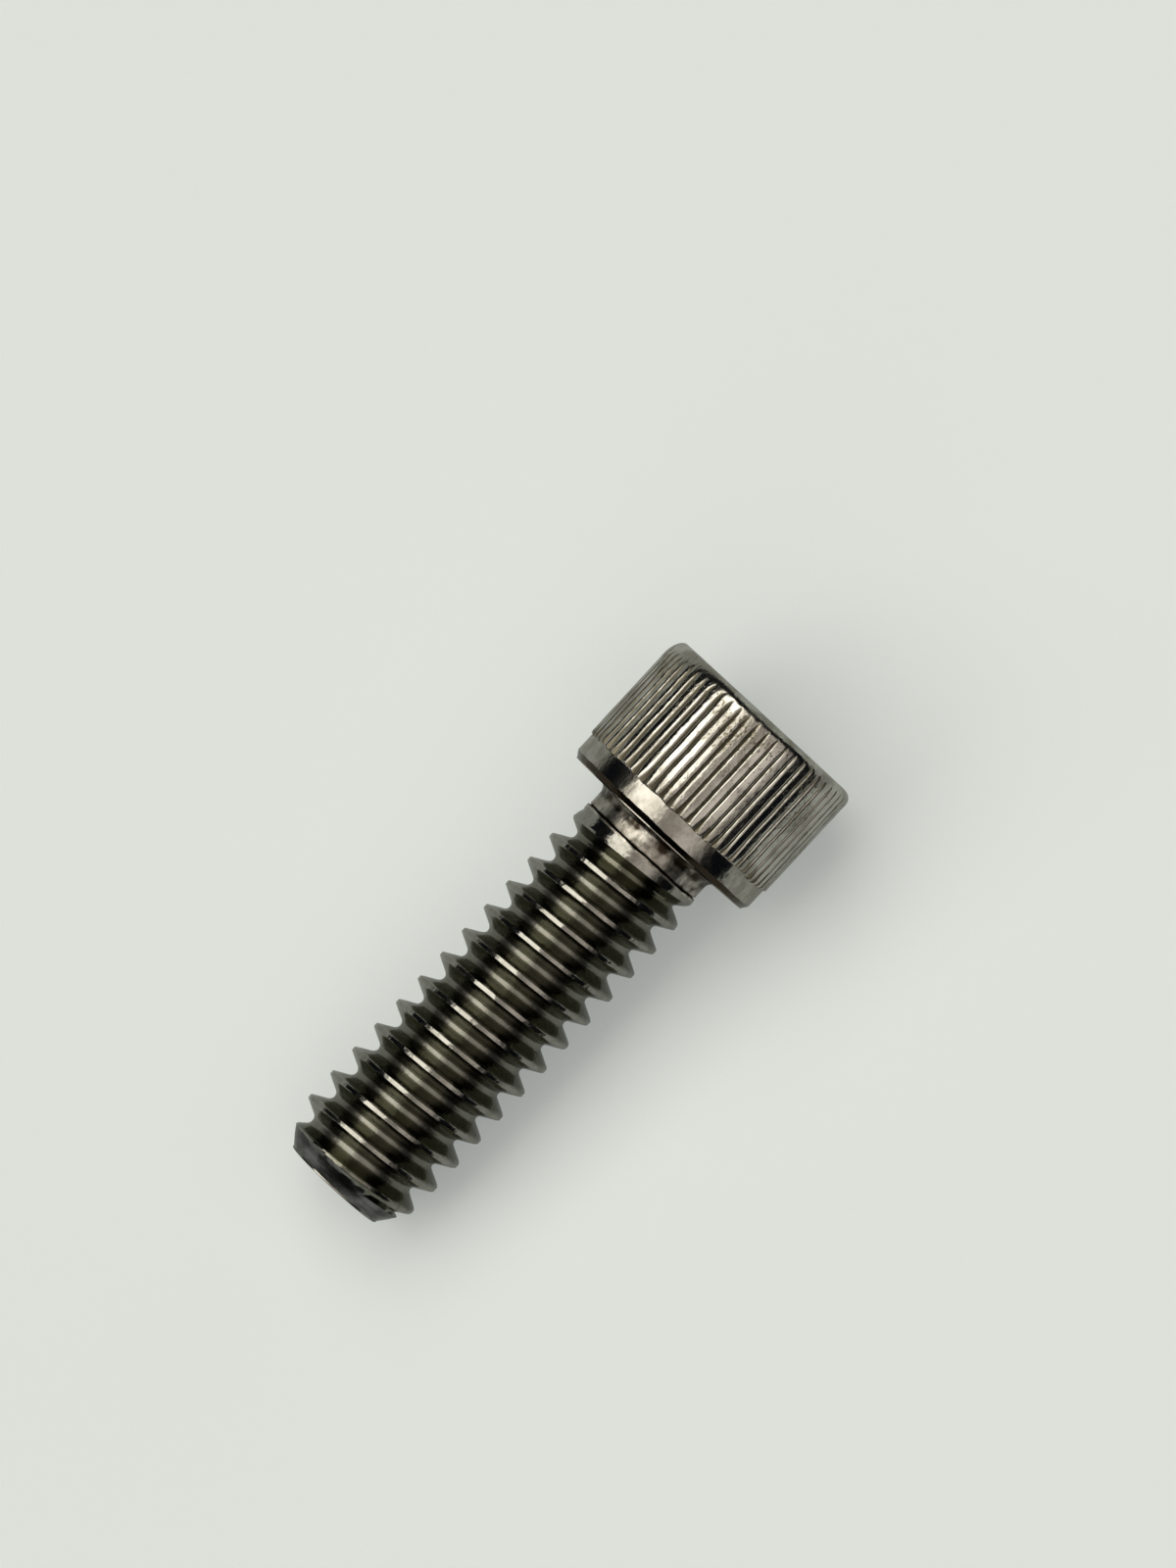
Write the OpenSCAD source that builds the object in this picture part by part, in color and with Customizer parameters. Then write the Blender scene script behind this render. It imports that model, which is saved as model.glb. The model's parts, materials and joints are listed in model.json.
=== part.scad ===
// Hex socket cap screw, 1/4-20 by 3/4 inch, stainless steel.
// It stands on its head: the head's top face lies on Z = 0 and the shank rises along +Z to the point.
// The shank is drawn over the thread's crests. The fine thread itself is not part of this solid.

/* [Head] */
// Diameter over the knurl's ridges
head_d = 9.3; // [7.6:0.05:12]
// Height from the top face to the bearing face
head_h = 6.2; // [5:0.05:8]
// Radius that rounds the top edge
head_edge_r = 0.6; // [0.2:0.05:0.8]
// Chamfer round the bearing face
bearing_chamfer = 0.12; // [0.05:0.01:0.3]

/* [Knurl] */
// Number of straight grooves round the head
groove_count = 60; // [36:1:72]
// Depth of a groove
groove_depth = 0.2; // [0.1:0.01:0.3]
// Width of a groove at the ridges
groove_w = 0.26; // [0.15:0.01:0.32]
// How far the grooves run on past the ridges into the plain band
groove_run_on = 0.12; // [0.05:0.01:0.3]
// Height of the plain band between the ridges and the bearing face
band_h = 1.1; // [0.6:0.05:2]
// How far the plain band lies below the ridges, on the radius
band_step = 0.1; // [0.05:0.01:0.2]

/* [Socket] */
// Width of the hexagon across its flats
socket_af = 4.76; // [3.9:0.01:5.8]
// Depth of the hexagon
socket_depth = 3.2; // [2.5:0.05:3.9]
// Depth of the shallow cone under the hexagon
socket_cone_h = 0.6; // [0.2:0.05:0.9]
// Width of the flat ledge between the hexagon's flats and that cone
socket_ledge = 0.2; // [0.1:0.05:0.5]
// Radius of the small flat at the bottom of that cone
socket_floor_r = 0.4; // [0.2:0.05:0.8]
// How far the round chamfer at the mouth reaches past the hexagon's corners
mouth_chamfer = 0.1; // [0.05:0.01:0.3]
// How far inside the hexagon's flats that chamfer's cone ends
mouth_inset = 0.3; // [0.1:0.05:0.5]

/* [Shank] */
// Diameter over the thread's crests
thread_d = 6.2; // [5:0.05:7.5]
// Length from the bearing face to the end
shank_l = 18.8; // [10:0.05:40]
// Length of the unthreaded neck under the head
neck_l = 1.1; // [0.7:0.05:3]
// How far the neck lies below the crests, on the radius
neck_step = 0.33; // [0.2:0.01:0.5]
// Length over which the crests rise from the neck to full height
runout_l = 0.9; // [0.3:0.05:2]
// How far outside the crests the flat bearing face starts, so that a washer passes over the thread to it
seat_gap = 0.03; // [0.01:0.01:0.1]

/* [Point] */
// Length of the whole point
point_l = 1.2; // [0.8:0.05:2]
// Length of the steeper chamfer next to the end face
end_chamfer_l = 0.45; // [0.2:0.05:0.7]
// How far the end face's edge lies below the crests, on the radius
end_step = 0.95; // [0.6:0.05:1.2]
// How far the point has already narrowed where the steeper chamfer starts
shoulder_step = 0.55; // [0.3:0.05:0.59]

/* [Hidden] */
$fn = 96;
// Overlap that keeps cutters clear of the faces they cut through
over = 0.5;
head_r = head_d / 2;
band_r = head_r - band_step;
knurl_h = head_h - band_h;
thread_r = thread_d / 2;
neck_r = thread_r - neck_step;
// The fillet between the neck and the head spans the step from the neck out to the bearing face
fillet_r = neck_step + seat_gap;
socket_corner_r = socket_af / 2 / cos(30);
mouth_r = socket_corner_r + mouth_chamfer;
// The mouth's 45 degree cone ends inside the hexagon, so that it crosses each flat in a clean arc
mouth_end_r = socket_af / 2 - mouth_inset;
socket_cone_r = socket_af / 2 - socket_ledge;
total_l = head_h + shank_l;
crest_start = head_h + neck_l + runout_l;
point_start = total_l - point_l;

// Half of the head's section, from the axis out and up to the bearing face, stepped at the band
head_outline = [
    [0, 0],
    [head_r, 0],
    [head_r, knurl_h],
    [band_r, knurl_h],
    [band_r, head_h - bearing_chamfer],
    [band_r - bearing_chamfer, head_h],
];
// Half of the shank's section: neck, rise to the crests, threaded length and two-step point
shank_outline = [
    [neck_r, head_h],
    [neck_r, head_h + neck_l],
    [thread_r, crest_start],
    [thread_r, point_start],
    [thread_r - shoulder_step, total_l - end_chamfer_l],
    [thread_r - end_step, total_l],
    [0, total_l],
];

// What rounding an outer corner takes away: a square less the quarter circle inside it
module corner_waste(r) {
    difference() {
        square(r);
        circle(r);
    }
}

// What a fillet adds in an inner corner: a square less the quarter circle outside it
module fillet_fill(r) {
    difference() {
        square(r);
        translate([r, r]) circle(r);
    }
}

module blank_section() {
    difference() {
        polygon(concat(head_outline, shank_outline));
        translate([head_r - head_edge_r, head_edge_r])
            mirror([0, 1])
                corner_waste(head_edge_r);
    }
    translate([neck_r, head_h]) fillet_fill(fillet_r);
}

// The screw as turned and headed, before its knurl and socket
module blank() {
    rotate_extrude() blank_section();
}

// One straight groove of the knurl: a long V cutter at the +X side
module knurl_groove() {
    flare = groove_w / 2 / groove_depth * (groove_depth + over);
    translate([0, 0, -over])
        linear_extrude(over + knurl_h + groove_run_on)
            polygon([
                [head_r - groove_depth, 0],
                [head_r + over, flare],
                [head_r + over, -flare],
            ]);
}

module knurl() {
    for (i = [0 : groove_count - 1])
        rotate([0, 0, i * 360 / groove_count])
            knurl_groove();
}

// The hexagon for the key, open at the top face, with a chamfered mouth and a coned floor
module socket() {
    translate([0, 0, -over])
        cylinder(r = socket_corner_r, h = socket_depth + over, $fn = 6);
    cylinder(r1 = mouth_r, r2 = mouth_end_r, h = mouth_r - mouth_end_r);
    translate([0, 0, -over])
        cylinder(r = mouth_r, h = over);
    translate([0, 0, socket_depth])
        cylinder(r1 = socket_cone_r, r2 = socket_floor_r, h = socket_cone_h);
}

module screw() {
    color([0.62, 0.60, 0.56])
        difference() {
            blank();
            knurl();
            socket();
        }
}

screw();
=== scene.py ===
"""The looks of a hex socket cap screw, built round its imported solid: a rolled thread, a knurled head and
a hexagonal socket in pitted stainless steel, on a pale studio stage. Lengths are in metres, in the part's
frame: the head's top face lies on Z = 0 and the shank rises along +Z to the point."""
import json
import math

import bpy
from mathutils import Matrix, Vector


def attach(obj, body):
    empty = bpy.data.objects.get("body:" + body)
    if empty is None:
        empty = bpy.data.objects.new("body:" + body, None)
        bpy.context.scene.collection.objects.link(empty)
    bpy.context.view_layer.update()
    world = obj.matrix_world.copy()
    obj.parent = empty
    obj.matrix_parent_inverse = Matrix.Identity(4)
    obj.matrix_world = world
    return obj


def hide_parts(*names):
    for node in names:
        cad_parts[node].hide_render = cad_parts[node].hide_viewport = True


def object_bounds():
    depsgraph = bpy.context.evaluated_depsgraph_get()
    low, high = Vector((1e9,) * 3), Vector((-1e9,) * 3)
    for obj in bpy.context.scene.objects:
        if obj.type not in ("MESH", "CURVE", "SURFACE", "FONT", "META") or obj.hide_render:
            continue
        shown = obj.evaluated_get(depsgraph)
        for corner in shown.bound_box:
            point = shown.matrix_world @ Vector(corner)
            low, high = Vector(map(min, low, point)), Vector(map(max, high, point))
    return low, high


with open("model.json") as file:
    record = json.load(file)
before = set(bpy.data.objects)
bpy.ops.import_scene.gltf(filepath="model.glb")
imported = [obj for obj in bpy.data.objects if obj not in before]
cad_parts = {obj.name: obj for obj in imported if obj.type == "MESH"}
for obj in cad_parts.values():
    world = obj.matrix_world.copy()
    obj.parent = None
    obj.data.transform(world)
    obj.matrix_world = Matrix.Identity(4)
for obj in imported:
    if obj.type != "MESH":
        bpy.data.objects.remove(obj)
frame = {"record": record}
cad_low, cad_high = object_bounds()

MM = 0.001
TURN = 2 * math.pi

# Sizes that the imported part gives
MOUNTS = {mount["name"]: mount for mount in frame["record"]["mounts"]}
HEAD_R = cad_high.x
HEAD_H = MOUNTS["bearing_face"]["pos_m"][2]
THREAD_R = MOUNTS["shank"]["dims"]["r_mm"] * MM
TOTAL_L = cad_high.z

# Head
TOP_EDGE_W = 0.47 * MM
TOP_EDGE_H = 0.67 * MM
TOP_EDGE_LEAN = 0.25 * MM
BAND_H = 1.1 * MM
BAND_STEP = 0.1 * MM
BEARING_CHAMFER_W = 0.16 * MM
BEARING_CHAMFER_H = 0.16 * MM
BEARING_RIM = 0.035 * MM
# The gap between two rows that keep an edge crisp
CREASE = 0.004 * MM
EDGE_WAVE = 0.16 * MM
WAVE_NOISE_PER_M = 300.0
RIM_WAVE_SHARE = 0.12
KNURL_TOP = HEAD_H - BAND_H
BAND_R = HEAD_R - BAND_STEP

# Knurl
RIDGES = 60
RIDGE_POINTS = 12
RIDGE_DEPTH = 0.12 * MM
RIDGE_FLATNESS = 6.5
RIDGE_START = 0.3 * MM
RIDGE_RISE = 0.6 * MM
RIDGE_ROWS = 20
# The ridges' own columns, and the painted shade and grime in their grooves, come in this many times sooner
# than their depth
RIDGE_COLUMNS_SOONER = 4.0
RIDGE_SHADE_AND_GRIME_SOONER = 3.0
# A groove's depth as a share of the ridge depth: the least, and what noise along the groove adds
GROOVE_DEPTH_LEAST = 0.7
GROOVE_DEPTH_NOISE = 0.5
# How far a groove lies off its even place and how far it wanders, in ridges
GROOVE_OFF = 0.1
GROOVE_WANDER = 0.16
GROOVE_NOISE_PER_M = 900.0
# The ridges' flatness on the -X side and on the +X side, as shares. It changes from one to the other
# while the cosine of the angle goes from minus to plus SIDE_CHANGE
FLAT_SIDE = 1.3
ROUND_SIDE = 0.6
SIDE_CHANGE = 0.35
# Towards the band the grooves widen, each by its own amount, and deepen
GROOVE_FLARE_H = 0.7 * MM
FLARE_LEAST = 0.45
FLARE_OWN = 0.4
FLARE_DEEPER = 0.2
RUN_OUT_UNEVEN = 0.08 * MM
DENT_DEPTH = 0.02 * MM
DENT_NOISE_ROUND = 9.0
DENT_NOISE_PER_M = 1500.0

# Socket
SOCKET_AF = 4.76 * MM
SOCKET_DEPTH = 3.2 * MM
SOCKET_CONE_H = 0.6 * MM
SOCKET_LEDGE = 0.2 * MM
SOCKET_FLOOR_R = 0.4 * MM
MOUTH_CHAMFER = 0.1 * MM
# The depth at which the hexagon's last straight row lies under the mouth
MOUTH_ROW = 0.6 * MM
SOCKET_CORNER_R = SOCKET_AF / 2 / math.cos(math.radians(30))
MOUTH_R = SOCKET_CORNER_R + MOUTH_CHAMFER

# Neck and thread
NECK_STEP = 0.33 * MM
NECK_R = THREAD_R - NECK_STEP
NECK_L = 1.1 * MM
NECK_END = HEAD_H + NECK_L
NECK_PLAIN_END = NECK_END - 0.26 * MM
# The fine line at the neck's end: its depth, and how far its edge towards the head, its bottom and its
# edge towards the thread lie below that end
NECK_LINE_DEPTH = 0.09 * MM
NECK_LINE_START = 0.125 * MM
NECK_LINE_BOTTOM = 0.08 * MM
NECK_LINE_END = 0.03 * MM
NECK_LINE_WAVE_SHARE = 0.7
THREAD_START_R = NECK_R + 0.06 * MM
# How far outside the crests the bearing face starts
SEAT_GAP = 0.03 * MM
FILLET_R = NECK_STEP + SEAT_GAP
PITCH = 1.27 * MM
# The height of one crest on the +X side
CREST_AT = 9.11 * MM
SHANK_COLUMNS = 240
# The thread's form: half of the crest, with its worn edge, a flank's slope and rows, and the root's arc
CREST_HALF = PITCH / 16
CREST_EDGE_SHARE = 0.65
CREST_EDGE_DROPS = (0.004 * MM, 0.02 * MM)
FLANK = math.radians(28)
FLANK_SHARES = (0.12, 0.4, 0.7)
ROOT_ARC_R = 0.19 * PITCH
ROOT_ROWS = 3
TANGENT_Z = PITCH / 2 - ROOT_ARC_R * math.cos(FLANK)
TANGENT_R = THREAD_R - (TANGENT_Z - CREST_HALF) / math.tan(FLANK)
ROOT_R = TANGENT_R - ROOT_ARC_R * (1 - math.sin(FLANK))
THREAD_WANDER = 0.045 * MM
# A groove's flank nearer to the head reaches from its crest over this share of the pitch
NEAR_FLANK_SHARE = 0.49
# Wear of the crests, and the height over which it sets in above the neck
CREST_WEAR = 0.03 * MM
WEAR_RISE_H = 0.3 * MM
# Heights above the neck's end: where the crests are full, and where the groove starts and is full
CREST_RISE_H = 1.45 * MM
GROOVE_START_H = 0.12 * MM
GROOVE_FULL_H = 0.85 * MM
# A depth below the crests that lies below every root
BELOW_ROOTS = 0.95 * MM

# Point
POINT_L = 1.2 * MM
END_CHAMFER_L = 0.44 * MM
SHOULDER_L = 0.78 * MM
CORNER_L = 0.93 * MM
END_R = THREAD_R - 0.95 * MM
SHOULDER_R = THREAD_R - 0.6 * MM
CORNER_R = THREAD_R - 0.37 * MM
CORNER_ROUND = 0.06 * MM
END_LIP = 0.05 * MM
END_ROUND = 0.025 * MM
ROW_GAP = 0.13 * MM
# Lengths before the end: the thread's groove keeps its depth up to the first, and is filled up from the
# second on
UNFILLED_L = 1.0 * MM
FILLED_L = 0.5 * MM
# The last turn sinks by this share of the thread's depth, between these lengths before the end
SINK_SHARE = 0.5
SINK_START_L = 1.6 * MM
SINK_END_L = 0.2 * MM
# How far past the end the thread's turns are counted, so that rows are left over to close it
PAST_END = 0.8 * MM
# The cone's finish fades out where the thread lies this much lower
CONE_EDGE = 0.05 * MM
# Rows of the end face that come nearer to the axis than this share of their radius are drawn onto it
NEAR_AXIS = 0.06

# How much painted shade and grime the mesh marks at each place, from 0 for none
GROOVE_END_SHADE = 0.22
CHAMFER_SHADE = 1.2
FILLET_SHADE_AND_STAIN = 0.75
NECK_DARKENING = 0.35
NECK_LINE_SHADE = 1.2
NECK_LINE_EDGE_SHADE = 0.6
# The depth below the crests that the mesh marks as a hollow of 1
HOLLOW_UNIT = 0.5 * MM

# Points this near to each other become one, and edges that bend less than this are shaded smooth
WELD = 0.002 * MM
SMOOTH_BELOW = math.radians(26)
# How far the bounds between the finishes stay clear of the faces they pass
BAND_CLEAR = 0.001 * MM
RIDGE_END_CLEAR = 0.02 * MM
SOCKET_CLEAR = 0.1 * MM
# A face is of the end face where more than this share of it is marked so
END_FACE_SHARE = 0.75
# Keeps a rounded-down column from falling one short of a whole number
ROUND_GUARD = 0.001
# For the grooves' random numbers
SEED = 7


class Value:
    """One output of a tree's node, which can stand in a sum as a number does."""

    def __init__(self, graph, socket):
        self.graph = graph
        self.socket = socket

    def __add__(self, other):
        return self.graph.math("ADD", self, other)

    def __radd__(self, other):
        return self.graph.math("ADD", other, self)

    def __sub__(self, other):
        return self.graph.math("SUBTRACT", self, other)

    def __rsub__(self, other):
        return self.graph.math("SUBTRACT", other, self)

    def __mul__(self, other):
        return self.graph.math("MULTIPLY", self, other)

    def __rmul__(self, other):
        return self.graph.math("MULTIPLY", other, self)

    def __truediv__(self, other):
        return self.graph.math("DIVIDE", self, other)

    def __rtruediv__(self, other):
        return self.graph.math("DIVIDE", other, self)

    def __mod__(self, other):
        return self.graph.math("FLOORED_MODULO", self, other)


class Graph:
    """Places and wires the nodes of one geometry, material or world tree."""

    def __init__(self, tree):
        self.tree = tree

    def feed(self, socket, value):
        if isinstance(value, Value):
            self.tree.links.new(value.socket, socket)
        elif value is not None:
            socket.default_value = value

    def node(self, kind, inputs=(), **settings):
        """A node of that kind. Its inputs are a list in the sockets' order or a dict by their names."""
        node = self.tree.nodes.new(kind)
        for name, value in settings.items():
            setattr(node, name, value)
        sockets = [socket for socket in node.inputs if socket.enabled]
        if isinstance(inputs, dict):
            for name, value in inputs.items():
                self.feed(next(s for s in sockets if s.name == name), value)
        else:
            for socket, value in zip(sockets, inputs):
                self.feed(socket, value)
        return node

    def out(self, node, name=None):
        return Value(self, next(s for s in node.outputs if s.enabled and name in (None, s.name)))

    def value(self, kind, inputs=(), output=None, **settings):
        return self.out(self.node(kind, inputs, **settings), output)

    def math(self, operation, *inputs):
        return self.value("ShaderNodeMath", inputs, operation=operation)

    def ramp(self, value, start, end, low=0.0, high=1.0, smooth=False):
        """low up to start, high from end on, and a straight or a smooth rise between."""
        kind = "SMOOTHSTEP" if smooth else "LINEAR"
        return self.value("ShaderNodeMapRange", (value, start, end, low, high), interpolation_type=kind)

    def between(self, value, low, high, soft):
        """1 between low and high, with soft edges as wide as soft."""
        rise = self.ramp(value, low - soft / 2, low + soft / 2, smooth=True)
        fall = self.ramp(value, high - soft / 2, high + soft / 2, 1.0, 0.0, smooth=True)
        return rise * fall

    def blend(self, low, high, amount):
        return low + (high - low) * amount

    def mix(self, low, high, amount):
        """What blend does, for colours."""
        inputs = {"Factor": amount, "A": low, "B": high}
        return self.value("ShaderNodeMix", inputs, data_type="RGBA")

    def vector(self, x, y, z):
        return self.value("ShaderNodeCombineXYZ", (x, y, z))

    def parts(self, vector):
        """A vector's three numbers."""
        node = self.node("ShaderNodeSeparateXYZ", [vector])
        return [self.out(node, axis) for axis in "XYZ"]

    def noise(self, place, scale, detail=2.0, roughness=0.5):
        """Noise from 0 to 1 with a mean of about a half."""
        inputs = {"Vector": place, "Scale": scale, "Detail": detail, "Roughness": roughness}
        return self.value("ShaderNodeTexNoise", inputs)

    def random(self, number, seed, low=0.0, high=1.0):
        """A random number for each whole number."""
        inputs = {"Min": low, "Max": high, "ID": number, "Seed": seed}
        return self.value("FunctionNodeRandomValue", inputs)


def new_geometry_tree(name, inputs):
    """A geometry tree with those named inputs, as {name: socket kind}, and its inputs' values by name."""
    tree = bpy.data.node_groups.new(name, "GeometryNodeTree")
    tree.is_modifier = True
    for title, kind in inputs.items():
        tree.interface.new_socket(title, in_out="INPUT", socket_type=kind)
    tree.interface.new_socket("Geometry", in_out="OUTPUT", socket_type="NodeSocketGeometry")
    graph = Graph(tree)
    entry = graph.node("NodeGroupInput")
    return graph, {title: graph.out(entry, title) for title in inputs}


def outline_object(name, rows):
    """A loose row of vertices for a geometry tree to read: X is the radius and Z the height."""
    mesh = bpy.data.meshes.new(name)
    mesh.from_pydata([(row["r"], 0, row["z"]) for row in rows], [], [])
    for key in ("ridge", "hexagon", "mouth", "coarse", "lean", "wave", "run_out", "flare", "grime"):
        attribute = mesh.attributes.new(key, "FLOAT", "POINT")
        attribute.data.foreach_set("value", [float(row.get(key, 0)) for row in rows])
    return bpy.data.objects.new(name, mesh)


def arc(centre, radii, start, end, steps):
    """Points of an ellipse's arc about centre, as (radius, height), with its angles in degrees."""
    angles = [math.radians(start + (end - start) * i / steps) for i in range(steps + 1)]
    return [(centre[0] + radii[0] * math.cos(a), centre[1] + radii[1] * math.sin(a)) for a in angles]


def spaced(start, end, steps):
    return [start + (end - start) * i / steps for i in range(steps + 1)]


def ridge_share(z):
    """How far the knurl's ridges have risen at that height: from 0 near the top face to 1."""
    return min(max((z - RIDGE_START) / RIDGE_RISE, 0), 1)


def socket_rows():
    """The section from the socket's bottom over its mouth to the middle of the top face."""
    bottom = SOCKET_DEPTH + SOCKET_CONE_H
    rows = [dict(r=0, z=bottom, coarse=1)]
    rows.append(dict(r=SOCKET_FLOOR_R, z=bottom, coarse=1))
    rows.append(dict(r=SOCKET_AF / 2 - SOCKET_LEDGE, z=SOCKET_DEPTH, coarse=1))
    for z in spaced(SOCKET_DEPTH, MOUTH_ROW, steps=4):
        rows.append(dict(r=SOCKET_AF / 2, z=z, hexagon=1, coarse=1))
    rows.append(dict(r=SOCKET_AF / 2, z=0, hexagon=1, mouth=1, coarse=1))
    rows.append(dict(r=MOUTH_R, z=0, coarse=1))
    rows.append(dict(r=(MOUTH_R + HEAD_R - TOP_EDGE_W) / 2, z=0, coarse=1))
    return rows


def knurl_rows():
    """The section of the rounded top edge, the ridges and the rounded ends of the ridges."""
    rows = []
    for r, z in arc((HEAD_R - TOP_EDGE_W, TOP_EDGE_H), (TOP_EDGE_W, TOP_EDGE_H), -90, 0, steps=8):
        rows.append(dict(r=r, z=z, ridge=ridge_share(z), lean=z / TOP_EDGE_H))
    ridge_end = KNURL_TOP - BAND_STEP
    for z in spaced(TOP_EDGE_H, ridge_end, RIDGE_ROWS)[1:]:
        lean = (ridge_end - z) / (ridge_end - TOP_EDGE_H)
        flare = max(z - (KNURL_TOP - GROOVE_FLARE_H), 0) / GROOVE_FLARE_H
        # The grooves' ends near the band get painted shade as they deepen
        grime = GROOVE_END_SHADE * flare
        rows.append(dict(r=HEAD_R, z=z, ridge=ridge_share(z), lean=lean, flare=flare, grime=grime))
    for r, z in arc((BAND_R, ridge_end), (BAND_STEP, BAND_STEP), 0, 90, steps=4)[1:]:
        rows.append(dict(r=r, z=z, ridge=(r - BAND_R) / BAND_STEP, run_out=1, flare=1))
    return rows


def band_rows():
    """The section of the plain band, its chamfer and the bearing face. Close pairs of rows keep the
    chamfer's edges crisp."""
    chamfer_top = HEAD_H - BEARING_RIM - BEARING_CHAMFER_H
    chamfer_end = BAND_R - BEARING_CHAMFER_W
    rim = HEAD_H - BEARING_RIM
    rows = [dict(r=BAND_R, z=z) for z in spaced(KNURL_TOP, chamfer_top, steps=4)[1:-1]]
    rows.append(dict(r=BAND_R, z=chamfer_top - CREASE, wave=1))
    # The chamfer's rows carry painted shade: a dark line under the band
    rows.append(dict(r=BAND_R, z=chamfer_top, wave=1, grime=CHAMFER_SHADE))
    rows.append(dict(r=chamfer_end, z=rim, wave=RIM_WAVE_SHARE, grime=CHAMFER_SHADE))
    rows.append(dict(r=chamfer_end, z=rim + CREASE, wave=RIM_WAVE_SHARE))
    rows.append(dict(r=chamfer_end, z=HEAD_H))
    rows.append(dict(r=(chamfer_end + NECK_R + FILLET_R) / 2, z=HEAD_H, coarse=1))
    return rows


def neck_rows():
    """The section of the fillet, the neck and the fine line where the thread starts."""
    rows = []
    # The fillet is darkened under the head: partly painted shade, partly brown stains
    for r, z in arc((NECK_R + FILLET_R, HEAD_H + FILLET_R), (FILLET_R, FILLET_R), -90, -180, steps=6):
        rows.append(dict(r=r, z=z, coarse=1, grime=FILLET_SHADE_AND_STAIN))
    # The neck's rows are marked to darken it unevenly
    for z in spaced(HEAD_H + FILLET_R, NECK_PLAIN_END, steps=3)[1:]:
        rows.append(dict(r=NECK_R, z=z, coarse=1, grime=NECK_DARKENING))
    # The fine line carries painted shade in its groove
    line = (
        (NECK_LINE_START, NECK_R, NECK_LINE_EDGE_SHADE),
        (NECK_LINE_BOTTOM, NECK_R - NECK_LINE_DEPTH, NECK_LINE_SHADE),
        (NECK_LINE_END, THREAD_START_R, NECK_LINE_EDGE_SHADE),
    )
    for down, r, grime in line:
        rows.append(dict(r=r, z=NECK_END - down, wave=NECK_LINE_WAVE_SHARE, coarse=1, grime=grime))
    rows.append(dict(r=THREAD_START_R, z=NECK_END, coarse=1))
    return rows


def turned_grid(graph, columns, rows):
    """A grid for a tree to bend round the axis, and the column and the row of each of its points."""
    sizes = {"Size X": 1.0, "Size Y": 1.0, "Vertices X": columns + 1, "Vertices Y": rows}
    grid = graph.value("GeometryNodeMeshGrid", sizes, output="Mesh")
    index = graph.value("GeometryNodeInputIndex")
    return grid, graph.math("FLOOR", index / rows), index % rows


def outline_value(graph, outline, kind, value, index):
    """A value of an outline's vertex, by that vertex's number."""
    inputs = {"Geometry": outline, "Value": value, "Index": index}
    return graph.value("GeometryNodeSampleIndex", inputs, data_type=kind)


def outline_place(graph, outline, index):
    """The radius and the height of an outline's vertex."""
    position = graph.value("GeometryNodeInputPosition")
    radius, _, height = graph.parts(outline_value(graph, outline, "FLOAT_VECTOR", position, index))
    return radius, height


def stored(graph, name):
    """A value that a mesh stores under that name, for a geometry tree."""
    return graph.value("GeometryNodeInputNamedAttribute", {"Name": name}, output="Attribute")


def bent(graph, grid, place, marks):
    """The grid with its points at that place, and with those values stored in it by name."""
    screw = graph.value("GeometryNodeSetPosition", {"Geometry": grid, "Position": graph.vector(*place)})
    for name, value in marks.items():
        inputs = {"Geometry": screw, "Name": name, "Value": value}
        screw = graph.value("GeometryNodeStoreNamedAttribute", inputs, domain="POINT")
    return screw


def groove(graph, given, number, height):
    """How far a groove lies sideways, in ridges, how deep it is, and how far it runs, from 0 to 1. One
    random number of its own gives all three."""
    own = graph.random(number % given["Ridges"], given["Seed"], 0.0, 100.0)
    track = graph.vector(own, height * GROOVE_NOISE_PER_M, 0.0)
    wander = graph.noise(track, 1.0, detail=3.0) - 0.5
    depth = GROOVE_DEPTH_LEAST + graph.noise(track, 0.7, detail=1.0) * GROOVE_DEPTH_NOISE
    return own % 1.0 * GROOVE_OFF + wander * GROOVE_WANDER, depth, own * 7.0 % 1.0


def knurl_column(graph, given, column, height):
    """A column's place in turns, closer to its neighbours near a groove; how far across its ridge it
    lies, from -1 to 1; and the depth and the run of the grooves there."""
    per_ridge = given["Ridge Points"]
    which = graph.math("FLOOR", column / per_ridge)
    along = (column % per_ridge) / per_ridge * 2.0 - 1.0
    across = graph.math("SINE", along * (math.pi / 2))
    share = across * 0.5 + 0.5
    side_a, depth_a, end_a = groove(graph, given, which, height)
    side_b, depth_b, end_b = groove(graph, given, which + 1.0, height)
    place = (which + share + graph.blend(side_a, side_b, share)) / given["Ridges"]
    return place, across, graph.blend(depth_a, depth_b, share), graph.blend(end_a, end_b, share)


def hexagon_radius(graph, radius, angle):
    """The distance from the axis to a hexagon's side in that direction, where radius is to its flats."""
    flat = graph.math("ABSOLUTE", (angle / (TURN / 6)) % 1.0 - 0.5)
    return radius / graph.math("COSINE", (0.5 - flat) * (TURN / 6))


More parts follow.
